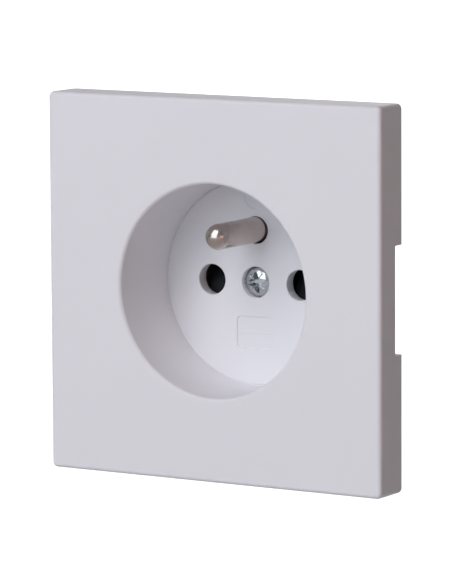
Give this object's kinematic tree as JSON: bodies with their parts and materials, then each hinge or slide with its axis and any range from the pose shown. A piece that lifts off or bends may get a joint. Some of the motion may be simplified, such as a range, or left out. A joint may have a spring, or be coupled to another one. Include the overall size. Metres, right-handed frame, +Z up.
{
  "type": "earthed socket outlet",
  "caption": "Square flush socket outlet with a round recess, protruding earth pin, shuttered contact holes and a central cover screw, on a steel frame with its works behind.",
  "frame": {"origin": "axis of the round recess, on the plane of the wall", "axes": "+X to the right seen from the room, +Y into the wall, +Z up"},
  "size_m": [0.071, 0.0379, 0.071],
  "materials": {
    "white_plastic": "satin moulded",
    "dark_plastic": "matt moulded",
    "shutter_plastic": "satin moulded",
    "zinc_plated_steel": "bright zinc plate",
    "nickel_plated_brass": "nickel plate, turned",
    "contact_brass": "rolled strip",
    "spring_steel": "drawn wire"
  },
  "bodies": {
    "outlet": {"front_cover": "white_plastic", "cover_screw": "zinc_plated_steel", "cover_screw_nut": "zinc_plated_steel", "earth_pin": "nickel_plated_brass", "support_frame": "zinc_plated_steel", "frame_rivet_1": "zinc_plated_steel", "frame_rivet_2": "zinc_plated_steel", "frame_rivet_3": "zinc_plated_steel", "frame_rivet_4": "zinc_plated_steel", "socket_base": "dark_plastic", "contact_cover": "dark_plastic", "shutter_cover": "dark_plastic", "shutter_spring": "spring_steel", "live_contact": "contact_brass", "neutral_contact": "contact_brass", "earth_strap": "contact_brass", "live_terminal": "contact_brass", "neutral_terminal": "contact_brass", "earth_terminal": "contact_brass", "live_terminal_screw": "zinc_plated_steel", "neutral_terminal_screw": "zinc_plated_steel", "earth_terminal_screw": "zinc_plated_steel"},
    "shutter_slider": {"shutter": "shutter_plastic"}
  },
  "joints": [
    {"name": "shutter_slide", "type": "slide", "parent": "outlet", "child": "shutter_slider", "axis": [0, 0, -1], "range_m": [0, 0.0068], "stiffness_N_per_m": 120, "springref_m": -0.004, "deforming": ["shutter_spring"]}
  ]
}
